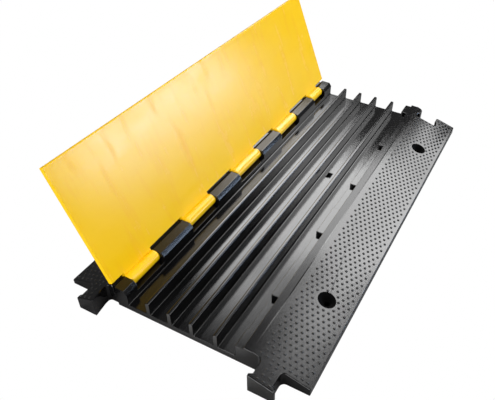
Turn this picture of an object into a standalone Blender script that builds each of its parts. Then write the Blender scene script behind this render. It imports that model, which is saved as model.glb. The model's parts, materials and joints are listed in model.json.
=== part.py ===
"""Floor cord cover: a black rubber cable ramp with five channels and a yellow hinged lid, standing open.

Metres, +Z up. X runs across the ramp, with the hinge on the -X side. Y runs along it, with the male tabs
at the -Y end. The origin is the middle of the underside.
"""

import math

import bmesh
import bpy
from mathutils import Vector

# Whole ramp
LENGTH = 0.900
WIDTH = 0.500
HALF_LENGTH = LENGTH / 2
HALF_WIDTH = WIDTH / 2

# Slopes: the latch side's starts at a crease, the hinge side's at a lip, and both end in an upright toe
CREASE_X = 0.1424
CREASE_Z = 0.0471
LATCH_SLOPE = 0.277
LIP_X = 0.1502
LIP_Z = 0.0450
HINGE_SLOPE = 0.350
LIP_ROUND = 0.005
TOE_ROUND = 0.0012

# Channel floor and ribs
FLOOR_Z = 0.0132
FOOT_ROUND = 0.0025
RIB_LEFT_X = (-0.0760, -0.0298, 0.0164, 0.0657)
RIB_WIDTH = 0.008
RIB_Z = 0.042
RIB_ROUND = 0.0025

# Hinge: hooks on the base, knuckles on the lid, one rod through both
AXIS_X = -0.1364
AXIS_Z = 0.0383
HOOK_X = (-0.1468, -0.1169)
HOOK_Z = 0.0467
HOOK_CHAMFER = (0.0060, 0.0085)
EDGE_ROUND = 0.0012
TROUGH_Z = 0.0247
SLOT_Z = 0.0240
KNUCKLE_BAYS = (
    (-0.4204, -0.3413),
    (-0.2429, -0.1462),
    (-0.0523, 0.0523),
    (0.1462, 0.2429),
    (0.3413, 0.4045),
)
ROD_RADIUS = 0.0030
ROD_CLEARANCE = 0.0004
ROD_Y = (-0.4395, 0.4490)
ROD_SIDES = 24

# Latch side: ledge, low bays with a notch at their far end, and the smooth strip between ledge and crease
LEDGE_X = (0.1094, 0.1255)
LEDGE_Z = 0.042
STRIP_Z = 0.0472
STRIP_FOOT = (0.1400, 0.0464)
LATCH_BAYS = ((0.0, 0.0946), (0.1808, 0.0948), (0.3670, 0.0858))
LATCH_BAY_Z = 0.0365
NOTCH_LENGTH = 0.0135
NOTCH_Z = 0.0136

# Bolt holes, countersunk
BOLT_X = 0.2004
BOLT_Y = 0.279
BOLT_RADIUS = 0.005
SINK_RADIUS = 0.0175
SINK_DEPTH = 0.0116
SINK_REACH = 1.5
BOLT_SIDES = 32

# End connectors: male tabs at -Y, female slots at +Y
TAB_X = 0.1795
LATCH_TAB = {"neck": 0.0373, "head": 0.0490}
HINGE_TAB = {"neck": 0.0310, "head": 0.0390}
TAB_LENGTH = 0.039
TAB_HEAD_LENGTH = 0.0055
TAB_FLARE = 0.0040
LONG_FLARE = 0.0280
SHORT_TIP = 0.0012
TAB_ROOT_ROUND = 0.009
SLOT_CLEARANCE = 0.0025
SLOT_HEAD_LENGTH = 0.014

# Shallow relief of the near end face, between the hinge-side tab and the hooks
RELIEF_Y = -0.4467
RELIEF_X = (-0.1435, -0.1420)
RELIEF_ROUND = 0.006

# Small pit in the floor of the fourth channel
PIT_X = (0.0360, 0.0475)
PIT_Y = (0.0760, 0.0970)
PIT_Z = 0.0050

# Lid, in its own frame: X out from the axis, Z across the plate
LID_OPEN = math.radians(112)
LID_REACH = 0.2593
LID_INNER = 0.0041
LID_OUTER = 0.0121
LID_NOTCH_X = 0.0170
LID_EDGE_ROUND = 0.0010
KNUCKLE_GAP = 0.0008
KNUCKLE_STEP = math.radians(10)

PAST = 0.010
RUBBER = (0.018, 0.018, 0.019)
YELLOW = (0.90, 0.58, 0.03)
STEEL = (0.55, 0.55, 0.56)


def clear_scene():
    for obj in list(bpy.data.objects):
        bpy.data.objects.remove(obj, do_unlink=True)


def ramp_z(x):
    """Height of the sloping top at x, on either side."""
    if x > 0:
        return CREASE_Z - LATCH_SLOPE * (x - CREASE_X)
    return LIP_Z + HINGE_SLOPE * (x + LIP_X)


def mirrored(bays):
    """(start, end) along Y of each bay, given as (centre, length) for the middle and one half."""
    spans = []
    for centre, length in bays:
        for side in (-1, 1) if centre else (1,):
            spans.append((side * centre - length / 2, side * centre + length / 2))
    return sorted(spans)


def rounded(corners, steps=3):
    """An outline whose corners, given as (a, b, radius), are turned into arcs."""
    outline = []
    for index, (a, b, radius) in enumerate(corners):
        corner = Vector((a, b))
        if not radius:
            outline.append(corner)
            continue
        back = (Vector(corners[index - 1][:2]) - corner).normalized()
        ahead = (Vector(corners[(index + 1) % len(corners)][:2]) - corner).normalized()
        half = back.angle(ahead) / 2
        centre = corner + (back + ahead).normalized() * radius / math.sin(half)
        start = corner + back * radius / math.tan(half) - centre
        end = corner + ahead * radius / math.tan(half) - centre
        for step in range(steps + 1):
            turn = step / steps
            spoke = start.normalized().slerp(end.normalized(), turn)
            outline.append(centre + spoke * radius)
    return outline


def new_object(name, bm):
    bmesh.ops.recalc_face_normals(bm, faces=bm.faces)
    mesh = bpy.data.meshes.new(name)
    bm.to_mesh(mesh)
    bm.free()
    obj = bpy.data.objects.new(name, mesh)
    bpy.context.scene.collection.objects.link(obj)
    return obj


def prism(name, outline, axis, start, end):
    """A straight solid with this outline, which runs along the axis from start to end."""
    places = {
        "X": lambda a, b: (start, a, b),
        "Y": lambda a, b: (a, start, b),
        "Z": lambda a, b: (a, b, start),
    }
    bm = bmesh.new()
    face = bm.faces.new([bm.verts.new(places[axis](*point)) for point in outline])
    swept = bmesh.ops.extrude_face_region(bm, geom=[face])["geom"]
    run = Vector([end - start if letter == axis else 0 for letter in "XYZ"])
    bmesh.ops.translate(bm, verts=[v for v in swept if isinstance(v, bmesh.types.BMVert)], vec=run)
    return new_object(name, bm)


def box(name, x, y, z):
    outline = ((x[0], z[0]), (x[1], z[0]), (x[1], z[1]), (x[0], z[1]))
    return prism(name, outline, "Y", *y)


def rod(name, radius, x, z, span, sides):
    """A round bar along Y."""
    ring = [
        (x + radius * math.cos(math.tau * n / sides), z + radius * math.sin(math.tau * n / sides))
        for n in range(sides)
    ]
    return prism(name, ring, "Y", *span)


def lofted(name, rings):
    """A solid through rings of points that lie one above the other."""
    bm = bmesh.new()
    rings = [[bm.verts.new(point) for point in ring] for ring in rings]
    for low, high in zip(rings, rings[1:]):
        for n, corner in enumerate(low):
            after = (n + 1) % len(low)
            bm.faces.new((corner, low[after], high[after], high[n]))
    bm.faces.new(rings[0])
    bm.faces.new(rings[-1])
    return new_object(name, bm)


def cut(target, name, cutters):
    """Takes the cutters away from the target with one Boolean modifier."""
    group = bpy.data.collections.new(name)
    bpy.context.scene.collection.children.link(group)
    for cutter in cutters:
        cutter.hide_render = True
        cutter.display_type = "WIRE"
        group.objects.link(cutter)
        bpy.context.scene.collection.objects.unlink(cutter)
    modifier = target.modifiers.new(name, "BOOLEAN")
    modifier.operation = "DIFFERENCE"
    modifier.solver = "EXACT"
    modifier.operand_type = "COLLECTION"
    modifier.collection = group


def shade_by_angle(obj, angle=math.radians(35)):
    """Smooth faces, with every edge over the angle left sharp."""
    bm = bmesh.new()
    bm.from_mesh(obj.data)
    for face in bm.faces:
        face.smooth = True
    for edge in bm.edges:
        edge.smooth = edge.calc_face_angle(math.pi) < angle
    bm.to_mesh(obj.data)
    bm.free()


def paint(obj, name, colour, roughness, metallic=0.0):
    material = bpy.data.materials.new(name)
    material.use_nodes = True
    shader = material.node_tree.nodes["Principled BSDF"]
    shader.inputs["Base Color"].default_value = (*colour, 1)
    shader.inputs["Roughness"].default_value = roughness
    shader.inputs["Metallic"].default_value = metallic
    obj.data.materials.append(material)


def base_outline():
    """The base's section at a hook and at a high block of the ledge, seen from the near end."""
    chamfer_x, chamfer_z = HOOK_CHAMFER
    corners = [
        (-HALF_WIDTH, 0, 0),
        (-HALF_WIDTH, ramp_z(-HALF_WIDTH), TOE_ROUND),
        (-LIP_X, LIP_Z, LIP_ROUND),
        (-LIP_X, SLOT_Z, EDGE_ROUND),
        (HOOK_X[0], SLOT_Z, EDGE_ROUND),
        (HOOK_X[0], HOOK_Z, EDGE_ROUND),
        (HOOK_X[1] - chamfer_x, HOOK_Z, EDGE_ROUND),
        (HOOK_X[1], HOOK_Z - chamfer_z, EDGE_ROUND),
        (HOOK_X[1], FLOOR_Z, FOOT_ROUND),
    ]
    for left in RIB_LEFT_X:
        corners += [
            (left, FLOOR_Z, FOOT_ROUND),
            (left, RIB_Z, RIB_ROUND),
            (left + RIB_WIDTH, RIB_Z, RIB_ROUND),
            (left + RIB_WIDTH, FLOOR_Z, FOOT_ROUND),
        ]
    corners += [
        (LEDGE_X[0], FLOOR_Z, FOOT_ROUND),
        (LEDGE_X[0], LEDGE_Z, EDGE_ROUND),
        (LEDGE_X[1], LEDGE_Z, 0),
        (LEDGE_X[1], STRIP_Z, EDGE_ROUND),
        (*STRIP_FOOT, 0),
        (CREASE_X, CREASE_Z, 0),
        (HALF_WIDTH, ramp_z(HALF_WIDTH), TOE_ROUND),
        (HALF_WIDTH, 0, 0),
    ]
    return rounded(corners)


def half_plan(widths, growth, root_y, tip_y, head_length, root_round, flare=TAB_FLARE):
    """One half of a tab's or slot's plan, from its root to its tip, as (distance from its middle, y).

    The growth is what a slot has more than its tab on each side, and the flare is how long the neck takes
    to widen to the head."""
    neck = widths["neck"] / 2 + growth
    head = widths["head"] / 2 + growth
    run = math.copysign(1, tip_y - root_y)
    return [
        (neck + root_round, root_y),
        *root_arc(neck, root_y, run, root_round),
        (neck, tip_y - run * (head_length + flare)),
        (head, tip_y - run * head_length),
        (head, tip_y),
    ]


def whole_plan(centre, left, right):
    """The plan round both halves of a tab or slot, from its left root to its right root."""
    return [(centre - x, y) for x, y in left] + [(centre + x, y) for x, y in reversed(right)]


def root_arc(half_neck, root_y, run, radius, steps=4):
    """Points of the hollow round corner between an end face and a neck."""
    arc = []
    for step in range(1, steps + 1):
        turn = math.pi / 2 * step / steps
        out = radius * (1 - math.sin(turn))
        along = radius * (1 - math.cos(turn))
        arc.append((half_neck + out, root_y + run * along))
    return arc


def tab_cutter():
    """Everything past the near end face except the two male tabs."""
    tip = -HALF_LENGTH - TAB_LENGTH
    hinge_outer = half_plan(HINGE_TAB, 0, -HALF_LENGTH, tip, TAB_HEAD_LENGTH, TAB_ROOT_ROUND)
    hinge_inner = half_plan(HINGE_TAB, 0, RELIEF_Y, tip, SHORT_TIP, RELIEF_ROUND, LONG_FLARE)
    latch = half_plan(LATCH_TAB, 0, -HALF_LENGTH, tip, TAB_HEAD_LENGTH, TAB_ROOT_ROUND)
    outline = [
        (-HALF_WIDTH - PAST, -HALF_LENGTH),
        *whole_plan(-TAB_X, hinge_outer, hinge_inner),
        (RELIEF_X[0], RELIEF_Y),
        (RELIEF_X[1], -HALF_LENGTH),
        *whole_plan(TAB_X, latch, latch),
        (HALF_WIDTH + PAST, -HALF_LENGTH),
        (HALF_WIDTH + PAST, tip - PAST),
        (-HALF_WIDTH - PAST, tip - PAST),
    ]
    return prism("past_near_end", outline, "Z", -PAST, HOOK_Z + PAST)


def slot_cutter(name, centre, tab):
    """One female slot, a little larger than the tab that drops into it."""
    tip = HALF_LENGTH - TAB_LENGTH - SLOT_CLEARANCE
    half = half_plan(tab, SLOT_CLEARANCE, HALF_LENGTH, tip, SLOT_HEAD_LENGTH, TAB_ROOT_ROUND)
    plan = whole_plan(centre, half, half)
    outside = [(plan[-1][0], HALF_LENGTH + PAST), (plan[0][0], HALF_LENGTH + PAST)]
    return prism(name, plan + outside, "Z", -PAST, HOOK_Z + PAST)


def bolt_cutter(x, y):
    """A round hole under a wide countersink, whose rim is a circle from above and follows the slope."""
    seat = ramp_z(x) - SINK_DEPTH
    foot, neck, mouth = [], [], []
    for n in range(BOLT_SIDES):
        out = Vector((math.cos(math.tau * n / BOLT_SIDES), math.sin(math.tau * n / BOLT_SIDES)))
        hole = Vector((x, y)) + out * BOLT_RADIUS
        rim = Vector((x, y)) + out * SINK_RADIUS
        foot.append(Vector((*hole, -PAST)))
        neck.append(Vector((*hole, seat)))
        mouth.append(neck[-1].lerp(Vector((*rim, ramp_z(rim.x))), SINK_REACH))
    return lofted(f"bolt_{x:.2f}_{y:.2f}", (foot, neck, mouth))


def latch_cutter(start, end):
    """A low bay of the ledge, with the deeper notch at its far end."""
    high = STRIP_Z + PAST
    outline = (
        (start, LATCH_BAY_Z),
        (end - NOTCH_LENGTH, LATCH_BAY_Z),
        (end - NOTCH_LENGTH, NOTCH_Z),
        (end, NOTCH_Z),
        (end, high),
        (start, high),
    )
    return prism(f"latch_{start:.3f}", outline, "X", LEDGE_X[0] - PAST / 2, LEDGE_X[1])


def make_base():
    base = prism("base", base_outline(), "Y", -HALF_LENGTH - TAB_LENGTH - PAST, HALF_LENGTH)
    shade_by_angle(base)
    mid_slot = (-LIP_X + HOOK_X[0]) / 2
    cutters = [
        tab_cutter(),
        slot_cutter("hinge_side_slot", -TAB_X, HINGE_TAB),
        slot_cutter("latch_side_slot", TAB_X, LATCH_TAB),
    ]
    for span in KNUCKLE_BAYS:
        reach = (mid_slot, HOOK_X[1] + PAST)
        cutters.append(box(f"bay_{span[0]:.3f}", reach, span, (TROUGH_Z, HOOK_Z + PAST)))
    for span in mirrored(LATCH_BAYS):
        cutters.append(latch_cutter(*span))
    for x in (-BOLT_X, BOLT_X):
        for y in (-BOLT_Y, BOLT_Y):
            cutters.append(bolt_cutter(x, y))
    cutters.append(box("pit", PIT_X, PIT_Y, (PIT_Z, FLOOR_Z + PAST)))
    bore = (ROD_Y[0] - ROD_CLEARANCE, HALF_LENGTH + PAST)
    cutters.append(rod("bore", ROD_RADIUS + ROD_CLEARANCE, AXIS_X, AXIS_Z, bore, ROD_SIDES))
    cut(base, "base_cuts", cutters)
    paint(base, "rubber", RUBBER, 0.45)
    return base


def lid_outline():
    """Section of plate and knuckle together: the plate's outer face is a tangent of the knuckle."""
    meet = math.asin(LID_INNER / LID_OUTER)
    sweep = 3 * math.pi / 2 + meet
    steps = round(sweep / KNUCKLE_STEP)
    knuckle = []
    for step in range(1, steps):
        turn = math.pi / 2 + sweep * step / steps
        knuckle.append(Vector((LID_OUTER * math.cos(turn), LID_OUTER * math.sin(turn))))
    plate = rounded(
        (
            (LID_OUTER * math.cos(meet), LID_INNER, 0),
            (LID_REACH, LID_INNER, LID_EDGE_ROUND),
            (LID_REACH, LID_OUTER, LID_EDGE_ROUND),
            (0, LID_OUTER, 0),
        )
    )
    return plate + knuckle


def make_lid():
    lid = prism("lid", lid_outline(), "Y", -HALF_LENGTH, HALF_LENGTH)
    shade_by_angle(lid)
    ends = [-HALF_LENGTH - PAST]
    for start, end in KNUCKLE_BAYS:
        ends += [start + KNUCKLE_GAP, end - KNUCKLE_GAP]
    ends.append(HALF_LENGTH + PAST)
    across = (-LID_OUTER - PAST, LID_NOTCH_X)
    through = (-LID_OUTER - PAST, LID_OUTER + PAST)
    cutters = [
        box(f"hook_notch_{start:.3f}", across, (start, end), through)
        for start, end in zip(ends[::2], ends[1::2])
    ]
    whole = (-HALF_LENGTH - PAST, HALF_LENGTH + PAST)
    cutters.append(rod("lid_bore", ROD_RADIUS + ROD_CLEARANCE, 0, 0, whole, ROD_SIDES))
    cut(lid, "lid_cuts", cutters)
    for obj in (lid, *cutters):
        obj.location = (AXIS_X, 0, AXIS_Z)
        obj.rotation_euler = (0, -LID_OPEN, 0)
    paint(lid, "yellow_plastic", YELLOW, 0.30)
    return lid


def make_rod():
    hinge_rod = rod("hinge_rod", ROD_RADIUS, AXIS_X, AXIS_Z, ROD_Y, ROD_SIDES)
    shade_by_angle(hinge_rod)
    paint(hinge_rod, "steel", STEEL, 0.35, metallic=1.0)
    return hinge_rod


clear_scene()
make_base()
make_lid()
make_rod()
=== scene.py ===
import json
import math

import bpy
from mathutils import Euler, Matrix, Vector


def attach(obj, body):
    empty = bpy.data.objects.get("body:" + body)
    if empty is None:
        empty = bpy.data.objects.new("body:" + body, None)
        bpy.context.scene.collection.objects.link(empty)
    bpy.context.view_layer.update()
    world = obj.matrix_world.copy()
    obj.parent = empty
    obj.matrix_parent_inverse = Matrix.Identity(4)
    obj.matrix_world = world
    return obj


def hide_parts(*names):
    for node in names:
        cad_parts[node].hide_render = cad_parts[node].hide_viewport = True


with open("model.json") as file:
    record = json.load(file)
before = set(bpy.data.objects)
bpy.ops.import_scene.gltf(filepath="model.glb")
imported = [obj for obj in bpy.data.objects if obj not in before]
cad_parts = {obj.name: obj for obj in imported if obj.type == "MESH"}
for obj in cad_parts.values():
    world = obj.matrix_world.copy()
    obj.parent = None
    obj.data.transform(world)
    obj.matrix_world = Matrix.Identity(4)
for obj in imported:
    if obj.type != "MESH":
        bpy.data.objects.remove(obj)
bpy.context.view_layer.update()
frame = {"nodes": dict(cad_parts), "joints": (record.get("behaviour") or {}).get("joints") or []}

# Sizes of the base that the dressing follows, in metres
HALF_LENGTH = 0.450
CREASE_X = 0.1424
STRIP_X = (0.1255, 0.1400)
LIP_X = 0.1502
LATCH_SIDE = {"side": 1, "start": (CREASE_X, 0.0471), "slope": 0.277, "neck": 0.0212, "head": 0.0270}
HINGE_SIDE = {"side": -1, "start": (LIP_X, 0.0450), "slope": 0.350, "neck": 0.0180, "head": 0.0220}
HINGE = Vector(frame["joints"][0]["pos_m"])
BOLT_X = 0.2004
BOLT_Y = 0.279
SINK_RADIUS = 0.0175
PIT_MIDDLE = (0.04175, 0.0865)

# Rounded edges of the moulding, and how far the ends, slots, hooks and knuckles reach
RAMP_END_ROUND = 0.0022
EDGE_ROUND = 0.0009
NOSE_ROUND = 0.0070
NOSE_STEPS = 5
NOSE_DROP = 0.45
LID_ROUND = 0.0012
KNUCKLE_ROUND = 0.0030
ROUND_SEGMENTS = 3
END_REACH = 0.02
SLOT_REACH = 0.01
HOOK_REACH = 0.03
KNUCKLE_REACH = 0.02
KNUCKLE_OUTLINE = 0.0125

# Studs on the slopes, in two staggered grids, and on the tabs, with the room they leave round openings
STUD_RADIUS = 0.0028
STUD_HEIGHT = 0.0018
STUD_FOOT = STUD_HEIGHT / 4
STUD_SIDES = 10
STUD_RINGS = 6
STUD_FIRST_X = 0.1556
STUD_FIRST_Y = -0.4420
STUD_COLUMN_STEP = 0.00536
STUD_ROW_STEP = 0.0214
STUD_ROWS = 42
EVEN_COLUMNS = 9
ODD_COLUMNS = 8
BOLT_CLEAR = 0.0202
TAB_X = 0.1795
STUD_CLEAR = 0.0035
SLOT_TIP_Y = 0.4085
SLOT_HEAD_Y = 0.4245
TAB_STUDS_Y = (-0.4510, -0.4622, -0.4734)
TAB_STUDS_X = (0.1770, 0.1877)
TAB_TIP_Y = -0.4838
TAB_TIP_STUDS_X = (0.1722, 0.1829, 0.1936)

# Camera, solved from the corners of the real object
CAMERA_PLACE = Vector((0.41533, -0.90244, 0.81322))
CAMERA_TURN = [math.radians(a) for a in (49.1810, -2.1929, 27.0218)]
CAMERA_LENS = 40.18
CAMERA_SENSOR = 36.0
CAMERA_SHIFT = (-0.0922, 0.0167)

# Floor: its greys in reflections, paler before the near end as a painted pool of light and darker
# further off as painted shade
FLOOR_SIZE = 12
FLOOR_PLACE = (0, 2, -0.0005)
FLOOR_LIT_AND_SHADED_GREY = (0.85, 0.25)
FLOOR_LIGHT_POOL = (0.03, -0.55, 0.0)
FLOOR_LIGHT_POOL_REACH = (0.08, 0.22)

# Light wall behind: name, (x, z) of the panel's middle, size and radiance
BACK_Y = 2.40
BACK_PANELS = (
    ("left_low", (-1.45, 1.43), (1.50, 0.44), 4.0),
    ("left_main", (-1.85, 2.42), (0.70, 1.54), 9.5),
    ("left_high", (-1.85, 3.54), (0.70, 0.70), 6.5),
    ("left_top", (-1.85, 4.29), (0.70, 0.80), 2.2),
    ("middle_main", (-0.275, 2.34), (2.45, 1.38), 8.5),
    ("middle_high", (-0.24, 3.46), (2.52, 0.86), 2.8),
    ("middle_top", (-0.14, 4.29), (2.72, 0.80), 0.8),
    ("right_low", (0.90, 1.40), (0.80, 0.50), 6.0),
    ("right_main", (1.10, 2.42), (0.30, 1.54), 10.5),
    ("right_high", (1.26, 3.54), (0.48, 0.70), 7.5),
    ("right_top", (1.44, 4.14), (0.43, 0.50), 6.0),
    ("right_peak", (1.65, 4.79), (0.50, 0.80), 4.0),
)

# Other softboxes: name, place, aim, size, radiance and tint
WHITE = (1, 1, 1)
BLUE_SKY = (0.55, 0.72, 1.0)
SOFT_BOXES = (
    ("side_low", (2.1, 1.90, 0.13), (0, 1.90, 0.13), (1.9, 0.20), 5.0, BLUE_SKY),
    ("side_high", (2.1, 1.80, 0.40), (0, 1.80, 0.40), (1.7, 0.30), 17.0, BLUE_SKY),
    ("fill_box", (2.6, 0.6, 2.0), (-0.15, 0.2, 0.15), (1.5, 1.5), 5.6, WHITE),
    ("front_box", (0.2, -3.2, 0.45), (0, 0, 0.1), (2.4, 0.8), 11.0, WHITE),
    ("front_high", (-0.8, -3.2, 1.9), (0, 0, 0.1), (1.2, 1.2), 8.0, WHITE),
)
STUDIO_GREY = 0.15

# Shared marks: each one's bumps a metre along X, Y and Z, its detail and its roughness
MARKS = {
    "Streaks": ((420, 9, 420), 5.0, 0.6),
    "Clouds": ((30, 14, 30), 5.0, 0.6),
    "Grain": ((1400, 1400, 1400), 2.0, 0.5),
}

# Spans of the marks' outputs, and the lid's smears
TONE_SPAN = (-0.5, 0.5)
GLOSS_SPAN = (-0.4, 0.4)
SMEARS = ((9, 55, 9), 3.0, 0.6)
SMEAR_SPAN = (0.52, 0.75)
SMEAR_DEPTH = 0.4
SMEAR_DULLNESS = 0.10
SMEAR_COLOUR = (0.90, 0.42, 0.002)

# Tests of points and faces: distances, angles between faces, and how squarely one looks along an axis
SAME_POINT = 1e-6
NEAR_LINE = 1e-5
FLAT = math.radians(0.4)
SHARP = math.radians(45)
ROUND_JOINT = math.radians(35)
STUD_JOINT = math.radians(60)
FACING = 0.9
LEANING = 0.5
FLAT_FACE_WEIGHT = 100


# Selecting and editing

def deselect_all():
    bpy.ops.object.select_all(action="DESELECT")


def make_active(piece):
    deselect_all()
    piece.select_set(True)
    bpy.context.view_layer.objects.active = piece


def edit(piece, kind="VERT"):
    make_active(piece)
    bpy.ops.object.mode_set(mode="EDIT")
    bpy.ops.mesh.select_mode(type=kind)
    bpy.ops.mesh.select_all(action="DESELECT")


def leave_edit():
    bpy.ops.object.mode_set(mode="OBJECT")


def pick_faces(piece, wanted):
    """Leaves edit mode, selects the faces for which wanted(face) is true, and comes back."""
    leave_edit()
    for face in piece.data.polygons:
        face.select = wanted(face)
    bpy.ops.object.mode_set(mode="EDIT")


def apply_modifiers(piece):
    make_active(piece)
    for modifier in list(piece.modifiers):
        bpy.ops.object.modifier_apply(modifier=modifier.name)


def settle(piece):
    """Puts the piece's place into its mesh."""
    make_active(piece)
    bpy.ops.object.transform_apply(location=True, rotation=True, scale=True)


def copy_of(piece, name):
    twin = bpy.data.objects.new(name, piece.data.copy())
    bpy.context.scene.collection.objects.link(twin)
    return twin


def wear(piece, material):
    piece.data.materials.clear()
    piece.data.materials.append(material)


def smooth_by_angle(piece, angle):
    """Shades smooth, with every edge over the angle marked sharp."""
    make_active(piece)
    bpy.ops.object.shade_smooth()
    edit(piece, "EDGE")
    bpy.ops.mesh.edges_select_sharp(sharpness=angle)
    bpy.ops.mesh.mark_sharp()
    leave_edit()


def keep_flats_flat(piece):
    """Turns the corner normals towards the large faces, so that only the rounded edges shade round."""
    weighted = piece.modifiers.new("flat_faces", "WEIGHTED_NORMAL")
    weighted.mode = "FACE_AREA"
    weighted.weight = FLAT_FACE_WEIGHT
    weighted.keep_sharp = True
    apply_modifiers(piece)


# Copies of the moulded solids, with rounded edges

def seam_cut(piece, place, normal, wanted=None):
    """Cuts the faces along a plane, and marks the cut so that it stays."""
    edit(piece, "FACE")
    if wanted:
        pick_faces(piece, wanted)
    else:
        bpy.ops.mesh.select_all(action="SELECT")
    bpy.ops.mesh.bisect(plane_co=place, plane_no=normal)
    bpy.ops.mesh.mark_seam(clear=False)
    leave_edit()


def moulded_copy(node, name, cuts):
    """A merged copy of a solid, its flat faces made whole again except along the cuts."""
    piece = copy_of(frame["nodes"][node], name)
    make_active(piece)
    bpy.ops.mesh.customdata_custom_splitnormals_clear()
    edit(piece)
    bpy.ops.mesh.select_all(action="SELECT")
    bpy.ops.mesh.remove_doubles(threshold=SAME_POINT)
    leave_edit()
    for cut in cuts:
        seam_cut(piece, *cut)
    edit(piece)
    bpy.ops.mesh.select_all(action="SELECT")
    bpy.ops.mesh.dissolve_limited(angle_limit=FLAT, delimit={"SEAM"})
    leave_edit()
    return piece


def edge_sides(mesh):
    """For each edge, the faces beside it, each with the corner where its walk along the edge starts."""
    sides = [[] for _ in mesh.edges]
    for face in mesh.polygons:
        for index in face.loop_indices:
            loop = mesh.loops[index]
            sides[loop.edge_index].append((face, loop.vertex_index))
    return sides


def stands_out(mesh, edge, sides):
    """True on an outer edge that is sharper than SHARP."""
    (first, start), (second, _) = sides
    end = edge.vertices[1] if edge.vertices[0] == start else edge.vertices[0]
    along = mesh.vertices[end].co - mesh.vertices[start].co
    outward = first.normal.cross(second.normal).dot(along) > 0
    return outward and first.normal.angle(second.normal, 0) > SHARP


def round_edges(piece, width, share):
    """Bevels the outer sharp edges, each by the part of the width that share(middle, faces) gives."""
    mesh = piece.data
    weights = mesh.attributes.new("bevel_weight_edge", "FLOAT", "EDGE")
    for edge, sides in zip(mesh.edges, edge_sides(mesh)):
        if len(sides) == 2 and stands_out(mesh, edge, sides):
            ends = [mesh.vertices[n].co for n in edge.vertices]
            faces = [face for face, _ in sides]
            weights.data[edge.index].value = share((ends[0] + ends[1]) / 2, faces)
    bevel = piece.modifiers.new("rounded", "BEVEL")
    bevel.limit_method = "WEIGHT"
    bevel.width = width
    bevel.segments = ROUND_SEGMENTS
    bevel.use_clamp_overlap = False
    bevel.miter_outer = "MITER_ARC"
    apply_modifiers(piece)


def base_share(middle, faces):
    """How much of the ramp ends' rounding an edge of the base gets."""
    if middle.z < SAME_POINT:
        return 0
    on_ramp = middle.x < -LIP_X - SAME_POINT or middle.x > CREASE_X + SAME_POINT
    slanted = any(face.normal.z > LEANING for face in faces)
    at_end = middle.y < END_REACH - HALF_LENGTH or middle.y > SLOT_TIP_Y - SLOT_REACH
    if on_ramp and slanted and at_end:
        return 1
    return EDGE_ROUND / RAMP_END_ROUND


def hinge_cuts(reach):
    """Planes through the hinge's axis, for the faces that stand across it within reach."""
    def across_hinge(face):
        return abs(face.normal.y) > FACING and abs(face.center.x - HINGE.x) < reach
    return [(HINGE, (1, 0, 0), across_hinge), (HINGE, (0, 0, 1), across_hinge)]


def base_cuts():
    """Planes through the middle of every hole, so that no flat face has a hole in it."""
    cuts = [((x, 0, 0), (1, 0, 0)) for x in (-BOLT_X, BOLT_X, PIT_MIDDLE[0])]
    cuts += [((0, y, 0), (0, 1, 0)) for y in (-BOLT_Y, BOLT_Y, PIT_MIDDLE[1])]
    return cuts + hinge_cuts(HOOK_REACH)


def ramp_z(x):
    """Height of the slope at x."""
    ramp = LATCH_SIDE if x > 0 else HINGE_SIDE
    start_x, start_z = ramp["start"]
    return start_z - ramp["slope"] * (abs(x) - start_x)


def on_nose(face):
    return abs(face.center.x) > TAB_X and face.center.y > SLOT_TIP_Y


def bend_noses_down(skin):
    """Cuts the far ends of the two slopes across, and rounds them over towards the end face.

    No point sinks by more than NOSE_DROP of its height, so that the low outer edges aren't flattened.
    """
    for step in range(NOSE_STEPS):
        along = HALF_LENGTH - NOSE_ROUND * (1 - math.sin(math.pi / 2 * step / NOSE_STEPS))
        seam_cut(skin, (0, along, 0), (0, 1, 0), on_nose)
    for vertex in skin.data.vertices:
        point = vertex.co
        past = point.y - (HALF_LENGTH - NOSE_ROUND)
        if past > 0 and abs(point.x) > TAB_X:
            drop = NOSE_ROUND - math.sqrt(max(NOSE_ROUND**2 - past**2, 0))
            point.z *= 1 - min(drop / ramp_z(point.x), NOSE_DROP)


def crisp_lines(skin):
    """Keeps the shallow step beside the strip sharp."""
    for edge in skin.data.edges:
        across = [skin.data.vertices[n].co.x for n in edge.vertices]
        if any(max(abs(x - line) for x in across) < NEAR_LINE for line in (STRIP_X[1], CREASE_X)):
            edge.use_edge_sharp = True


def inside_sink(face):
    """True on the walls of a bolt hole and of its countersink."""
    out = math.hypot(abs(face.center.x) - BOLT_X, abs(face.center.y) - BOLT_Y)
    return out < SINK_RADIUS - EDGE_ROUND and face.normal.z < FACING


def on_strip(face):
    """True on the smooth strip beside the latch ledge."""
    return STRIP_X[0] < face.center.x < STRIP_X[1] and face.normal.z > FACING


def build_base(body_finish, strip_finish, shaded_hole_finish):
    skin = moulded_copy("base", "ramp_body", base_cuts())
    round_edges(skin, RAMP_END_ROUND, base_share)
    bend_noses_down(skin)
    smooth_by_angle(skin, ROUND_JOINT)
    crisp_lines(skin)
    keep_flats_flat(skin)
    finishes = [body_finish, shaded_hole_finish, strip_finish]
    skin.data.materials.clear()
    for finish in finishes:
        skin.data.materials.append(finish)
    # The walls of the bolt holes get the dull finish whose darker colour is painted shade
    for face in skin.data.polygons:
        if inside_sink(face):
            face.material_index = finishes.index(shaded_hole_finish)
        elif on_strip(face):
            face.material_index = finishes.index(strip_finish)
    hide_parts("base")
    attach(skin, "base")


def lid_share(middle, faces):
    """The knuckles' ends are rounder than the plate's edges."""
    off_axis = Vector((middle.x - HINGE.x, middle.z - HINGE.z))
    if off_axis.length < KNUCKLE_OUTLINE:
        return 1
    return LID_ROUND / KNUCKLE_ROUND


def build_lid(material):
    skin = moulded_copy("lid", "lid_panel", hinge_cuts(KNUCKLE_REACH))
    round_edges(skin, KNUCKLE_ROUND, lid_share)
    smooth_by_angle(skin, ROUND_JOINT)
    keep_flats_flat(skin)
    wear(skin, material)
    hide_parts("lid")
    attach(skin, "lid")


# Studs

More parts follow.
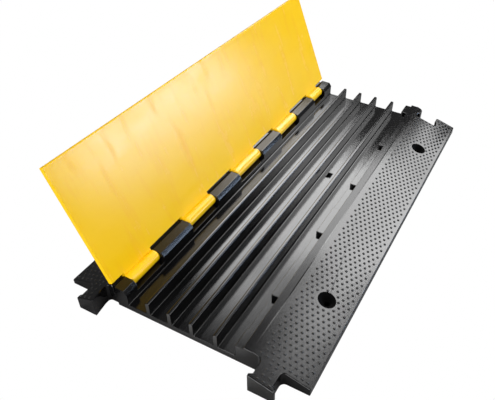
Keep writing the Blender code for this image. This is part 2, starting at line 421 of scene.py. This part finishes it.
def model_stud():
    """One low dome, open below, its foot a little under the origin."""
    deselect_all()
    bpy.ops.mesh.primitive_uv_sphere_add(segments=STUD_SIDES, ring_count=STUD_RINGS, radius=1)
    stud = bpy.context.active_object
    stud.name = "stud"
    stud.scale = (STUD_RADIUS, STUD_RADIUS, STUD_HEIGHT)
    settle(stud)
    edit(stud)
    bpy.ops.mesh.select_all(action="SELECT")
    bpy.ops.mesh.bisect(plane_co=(0, 0, -STUD_FOOT), plane_no=(0, 0, 1), clear_inner=True)
    leave_edit()
    return stud


def stud_grid(stud, ramp, first, counts, steps):
    """Copies of the stud in a flat grid, whose X runs down the slope from where the slope starts."""
    stretch = math.hypot(1, ramp["slope"])
    grid = copy_of(stud, "stud_grid")
    grid.location = ((first[0] - ramp["start"][0]) * stretch, first[1], 0)
    offsets = ((steps[0] * stretch, 0, 0), (0, steps[1], 0))
    for count, offset in zip(counts, offsets):
        array = grid.modifiers.new("rows", "ARRAY")
        array.count = count
        array.use_relative_offset = False
        array.use_constant_offset = True
        array.constant_offset_displace = offset
    apply_modifiers(grid)
    settle(grid)
    return grid


def slope_grids(stud, ramp):
    """The two staggered grids of a slope and those of its tab."""
    pair = (2 * STUD_COLUMN_STEP, STUD_ROW_STEP)
    tab_step = (TAB_STUDS_X[1] - TAB_STUDS_X[0], TAB_STUDS_Y[1] - TAB_STUDS_Y[0])
    tip_step = (TAB_TIP_STUDS_X[1] - TAB_TIP_STUDS_X[0], 0)
    even = (STUD_FIRST_X, STUD_FIRST_Y)
    odd = (STUD_FIRST_X + STUD_COLUMN_STEP, STUD_FIRST_Y + STUD_ROW_STEP / 2)
    tab = (TAB_STUDS_X[0], TAB_STUDS_Y[0])
    tip = (TAB_TIP_STUDS_X[0], TAB_TIP_Y)
    return [
        stud_grid(stud, ramp, even, (EVEN_COLUMNS, STUD_ROWS), pair),
        stud_grid(stud, ramp, odd, (ODD_COLUMNS, STUD_ROWS), pair),
        stud_grid(stud, ramp, tab, (len(TAB_STUDS_X), len(TAB_STUDS_Y)), tab_step),
        stud_grid(stud, ramp, tip, (len(TAB_TIP_STUDS_X), 1), tip_step),
    ]


def over_opening(point, ramp):
    """True over a bolt hole, a slot or the far end's rounding, with room for a whole stud."""
    x, y = abs(point.x), point.y
    if math.hypot(x - BOLT_X, abs(y) - BOLT_Y) < BOLT_CLEAR:
        return True
    across = abs(x - TAB_X) - STUD_CLEAR
    in_neck = y > SLOT_TIP_Y - STUD_CLEAR and across < ramp["neck"]
    in_head = SLOT_TIP_Y - STUD_CLEAR < y < SLOT_HEAD_Y + STUD_CLEAR and across < ramp["head"]
    return in_neck or in_head or y > HALF_LENGTH - NOSE_ROUND


def clear_openings(piece, points_each, ramp):
    """Deletes every stud, of that many points, that stands over an opening."""
    # Going in and out of edit mode turns the picking of points on, with none picked
    edit(piece)
    leave_edit()
    mesh = piece.data
    for first in range(0, len(mesh.vertices), points_each):
        own = [mesh.vertices[n] for n in range(first, first + points_each)]
        middle = sum((vertex.co for vertex in own), Vector()) / points_each
        gone = over_opening(middle, ramp)
        for vertex in own:
            vertex.select = gone
    bpy.ops.object.mode_set(mode="EDIT")
    bpy.ops.mesh.delete(type="VERT")
    bpy.ops.mesh.select_all(action="SELECT")
    bpy.ops.mesh.normals_make_consistent(inside=False)
    leave_edit()


def build_studs(stud, ramp, name, material):
    """One mesh of all the studs of a slope.

    They are laid out on the latch side, and those of the hinge side are then mirrored over to it.
    """
    grids = slope_grids(stud, ramp)
    make_active(grids[0])
    for grid in grids:
        grid.select_set(True)
    bpy.ops.object.join()
    piece = bpy.context.active_object
    piece.name = name
    piece.location = (ramp["start"][0], 0, ramp["start"][1])
    piece.rotation_euler = (0, math.atan(ramp["slope"]), 0)
    settle(piece)
    piece.scale = (ramp["side"], 1, 1)
    settle(piece)
    clear_openings(piece, len(stud.data.vertices), ramp)
    smooth_by_angle(piece, STUD_JOINT)
    wear(piece, material)
    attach(piece, "base")


# Materials

def new_group(name, inputs, outputs):
    """An empty shader node group with its float inputs and its outputs, given as (name, socket type)."""
    group = bpy.data.node_groups.new(name, "ShaderNodeTree")
    for label, value in inputs:
        socket = group.interface.new_socket(label, in_out="INPUT", socket_type="NodeSocketFloat")
        socket.default_value = value
    for label, kind in outputs:
        group.interface.new_socket(label, in_out="OUTPUT", socket_type=kind)
    entry = group.nodes.new("NodeGroupInput")
    leave = group.nodes.new("NodeGroupOutput")
    return group, entry, leave


def add_noise(tree, stretch, detail, roughness):
    """Noise with about as many bumps a metre along X, Y and Z as the stretch says."""
    coordinates = tree.nodes.new("ShaderNodeTexCoord").outputs["Object"]
    mapping = tree.nodes.new("ShaderNodeMapping")
    mapping.inputs["Scale"].default_value = stretch
    noise = tree.nodes.new("ShaderNodeTexNoise")
    noise.inputs["Scale"].default_value = 1.0
    noise.inputs["Detail"].default_value = detail
    noise.inputs["Roughness"].default_value = roughness
    tree.links.new(coordinates, mapping.inputs["Vector"])
    tree.links.new(mapping.outputs["Vector"], noise.inputs["Vector"])
    return noise.outputs["Fac"]


def add_math(tree, operation, first, second):
    node = tree.nodes.new("ShaderNodeMath")
    node.operation = operation
    for socket, value in zip(node.inputs, (first, second)):
        if isinstance(value, (int, float)):
            socket.default_value = value
        else:
            tree.links.new(value, socket)
    return node.outputs[0]


def add_range(tree, value, old, new):
    """The value moved from one span to another, held at the ends."""
    node = tree.nodes.new("ShaderNodeMapRange")
    node.inputs["From Min"].default_value = old[0]
    node.inputs["From Max"].default_value = old[1]
    node.inputs["To Min"].default_value = new[0]
    node.inputs["To Max"].default_value = new[1]
    tree.links.new(value, node.inputs["Value"])
    return node.outputs["Result"]


def surface_marks_group():
    """Marks that all the parts share: long rubbed streaks along Y, cloudy dust and fine grain."""
    group, entry, leave = new_group(
        "surface_marks",
        [(label, 1.0) for label in MARKS],
        [("Tone", "NodeSocketFloat"), ("Gloss", "NodeSocketFloat"), ("Height", "NodeSocketFloat")],
    )
    parts = {}
    for label, noise in MARKS.items():
        centred = add_math(group, "SUBTRACT", add_noise(group, *noise), 0.5)
        parts[label] = add_math(group, "MULTIPLY", centred, entry.outputs[label])
    both = add_math(group, "ADD", parts["Streaks"], parts["Clouds"])
    group.links.new(add_math(group, "ADD", both, parts["Grain"]), leave.inputs["Tone"])
    group.links.new(both, leave.inputs["Gloss"])
    group.links.new(parts["Grain"], leave.inputs["Height"])
    return group


def new_material(name):
    material = bpy.data.materials.new(name)
    material.use_nodes = True
    tree = material.node_tree
    shader = tree.nodes["Principled BSDF"]
    return material, tree, shader


def mix_colours(tree, factor, first, second):
    """The two colours, each a socket or red, green and blue, mixed by the factor."""
    node = tree.nodes.new("ShaderNodeMix")
    node.data_type = "RGBA"
    tree.links.new(factor, node.inputs["Factor"])
    for label, colour in (("A", first), ("B", second)):
        if isinstance(colour, tuple):
            node.inputs[label].default_value = (*colour, 1)
        else:
            tree.links.new(colour, node.inputs[label])
    return node.outputs["Result"]


def marked_material(name, marks, amounts, colours, roughness):
    """A material whose colour and roughness follow the marks, and the height that the marks give.

    The amounts are those of the streaks, the clouds and the grain, in that order.
    """
    material, tree, shader = new_material(name)
    group = tree.nodes.new("ShaderNodeGroup")
    group.node_tree = marks
    for label, amount in zip(MARKS, amounts):
        group.inputs[label].default_value = amount
    tone = add_range(tree, group.outputs["Tone"], TONE_SPAN, (0.0, 1.0))
    tree.links.new(mix_colours(tree, tone, *colours), shader.inputs["Base Color"])
    rough = add_range(tree, group.outputs["Gloss"], GLOSS_SPAN, roughness)
    tree.links.new(rough, shader.inputs["Roughness"])
    return material, group.outputs["Height"]


def add_bump(material, height, strength, distance):
    tree = material.node_tree
    shader = tree.nodes["Principled BSDF"]
    bump = tree.nodes.new("ShaderNodeBump")
    bump.inputs["Strength"].default_value = strength
    bump.inputs["Distance"].default_value = distance
    tree.links.new(height, bump.inputs["Height"])
    tree.links.new(bump.outputs["Normal"], shader.inputs["Normal"])


def set_shine(material, level):
    material.node_tree.nodes["Principled BSDF"].inputs["Specular IOR Level"].default_value = level


def rubber_material(marks, name, shine, roughness):
    colours = ((0.0012, 0.0012, 0.0013), (0.0055, 0.0053, 0.0057))
    material, height = marked_material(name, marks, (0.8, 1.0, 0.6), colours, roughness)
    add_bump(material, height, 0.25, 0.0003)
    set_shine(material, shine)
    return material


def shaded_hole_material(marks):
    """The dull inside of the bolt holes, its colour darker than the rubber's: painted shade for the
    hollows.
    """
    colours = ((0.0010, 0.0010, 0.0010), (0.0040, 0.0040, 0.0042))
    material, _ = marked_material("dull_rubber_painted_shade", marks, (0.3, 1.0, 0.6), colours, (0.65, 0.85))
    set_shine(material, 0.03)
    return material


def smear(material):
    """Faint orange smears up the lid, a little duller than the rest."""
    tree = material.node_tree
    shader = tree.nodes["Principled BSDF"]
    smears = add_range(tree, add_noise(tree, *SMEARS), SMEAR_SPAN, (0.0, 1.0))
    clean = shader.inputs["Base Color"].links[0].from_socket
    stained = mix_colours(tree, add_math(tree, "MULTIPLY", smears, SMEAR_DEPTH), clean, SMEAR_COLOUR)
    rough = shader.inputs["Roughness"].links[0].from_socket
    duller = add_math(tree, "ADD", rough, add_math(tree, "MULTIPLY", smears, SMEAR_DULLNESS))
    tree.links.new(stained, shader.inputs["Base Color"])
    tree.links.new(duller, shader.inputs["Roughness"])


def lid_material(marks):
    colours = ((0.93, 0.54, 0.002), (0.97, 0.59, 0.005))
    material, height = marked_material(
        "yellow_plastic_skin", marks, (0.35, 1.2, 0.1), colours, (0.14, 0.30)
    )
    smear(material)
    add_bump(material, height, 0.05, 0.0002)
    set_shine(material, 0.4)
    return material


def steel_material(marks):
    colours = ((0.42, 0.42, 0.43), (0.60, 0.60, 0.60))
    material, _ = marked_material("drawn_steel", marks, (1.0, 0.5, 0.3), colours, (0.25, 0.45))
    material.node_tree.nodes["Principled BSDF"].inputs["Metallic"].default_value = 1.0
    return material


# Stage

def floor_material():
    """Plain white to the camera, and grey in reflections: paler before the near end, a painted pool of
    light, and darker further off, painted shade.
    """
    material, tree, shader = new_material("white_sweep")
    coordinates = tree.nodes.new("ShaderNodeTexCoord").outputs["Object"]
    apart = tree.nodes.new("ShaderNodeVectorMath")
    apart.operation = "DISTANCE"
    tree.links.new(coordinates, apart.inputs[0])
    apart.inputs[1].default_value = FLOOR_LIGHT_POOL
    # Painted light and shade: the grey seen in reflections is paler near the patch before the near end
    # and darker further off
    painted_light_grey = add_range(tree, apart.outputs["Value"], FLOOR_LIGHT_POOL_REACH, FLOOR_LIT_AND_SHADED_GREY)
    tree.links.new(painted_light_grey, shader.inputs["Base Color"])
    shader.inputs["Roughness"].default_value = 0.9
    shader.inputs["Specular IOR Level"].default_value = 0.0
    white = tree.nodes.new("ShaderNodeEmission")
    seen = tree.nodes.new("ShaderNodeLightPath").outputs["Is Camera Ray"]
    mix = tree.nodes.new("ShaderNodeMixShader")
    tree.links.new(seen, mix.inputs[0])
    tree.links.new(shader.outputs[0], mix.inputs[1])
    tree.links.new(white.outputs[0], mix.inputs[2])
    tree.links.new(mix.outputs[0], tree.nodes["Material Output"].inputs["Surface"])
    return material


def build_floor():
    deselect_all()
    bpy.ops.mesh.primitive_plane_add(size=FLOOR_SIZE, location=FLOOR_PLACE)
    floor = bpy.context.active_object
    floor.name = "floor"
    settle(floor)
    wear(floor, floor_material())


def soft_box(name, place, aim, size, radiance, tint):
    """A rectangular studio light at place, facing aim, as bright all over as the radiance says."""
    light = bpy.data.lights.new(name, "AREA")
    light.shape = "RECTANGLE"
    light.size, light.size_y = size
    light.energy = radiance * math.pi * size[0] * size[1]
    light.color = tint
    lamp = bpy.data.objects.new(name, light)
    bpy.context.scene.collection.objects.link(lamp)
    lamp.location = place
    lamp.rotation_euler = (Vector(aim) - Vector(place)).to_track_quat("-Z", "Y").to_euler()
    lamp.visible_camera = False


def build_lights():
    """Panels behind for the sheen of the upward faces, side boxes for the lid's glare, and fills."""
    for name, (x, z), size, radiance in BACK_PANELS:
        soft_box(name, (x, BACK_Y, z), (x, 0, z), size, radiance, WHITE)
    for box in SOFT_BOXES:
        soft_box(*box)
    world = bpy.data.worlds.new("studio")
    bpy.context.scene.world = world
    world.use_nodes = True
    background = world.node_tree.nodes["Background"]
    background.inputs["Color"].default_value = (1, 1, 1, 1)
    background.inputs["Strength"].default_value = STUDIO_GREY


def build_camera():
    data = bpy.data.cameras.new("photo_view")
    data.sensor_width = CAMERA_SENSOR
    data.lens = CAMERA_LENS
    data.shift_x, data.shift_y = CAMERA_SHIFT
    data.clip_start = 0.01
    camera = bpy.data.objects.new("photo_view", data)
    bpy.context.scene.collection.objects.link(camera)
    camera.location = CAMERA_PLACE
    camera.rotation_euler = Euler(CAMERA_TURN)
    bpy.context.scene.camera = camera
    bpy.context.scene.view_settings.view_transform = "Standard"


marks = surface_marks_group()
rubber = rubber_material(marks, "black_rubber", shine=0.5, roughness=(0.045, 0.15))
rubbed = rubber_material(marks, "rubbed_rubber", shine=0.30, roughness=(0.08, 0.18))
build_base(rubber, rubbed, shaded_hole_material(marks))
build_lid(lid_material(marks))
stud = model_stud()
build_studs(stud, LATCH_SIDE, "studs_latch_side", rubber)
build_studs(stud, HINGE_SIDE, "studs_hinge_side", rubber)
bpy.data.objects.remove(stud)
wear(frame["nodes"]["hinge_rod"], steel_material(marks))
build_floor()
build_lights()
build_camera()
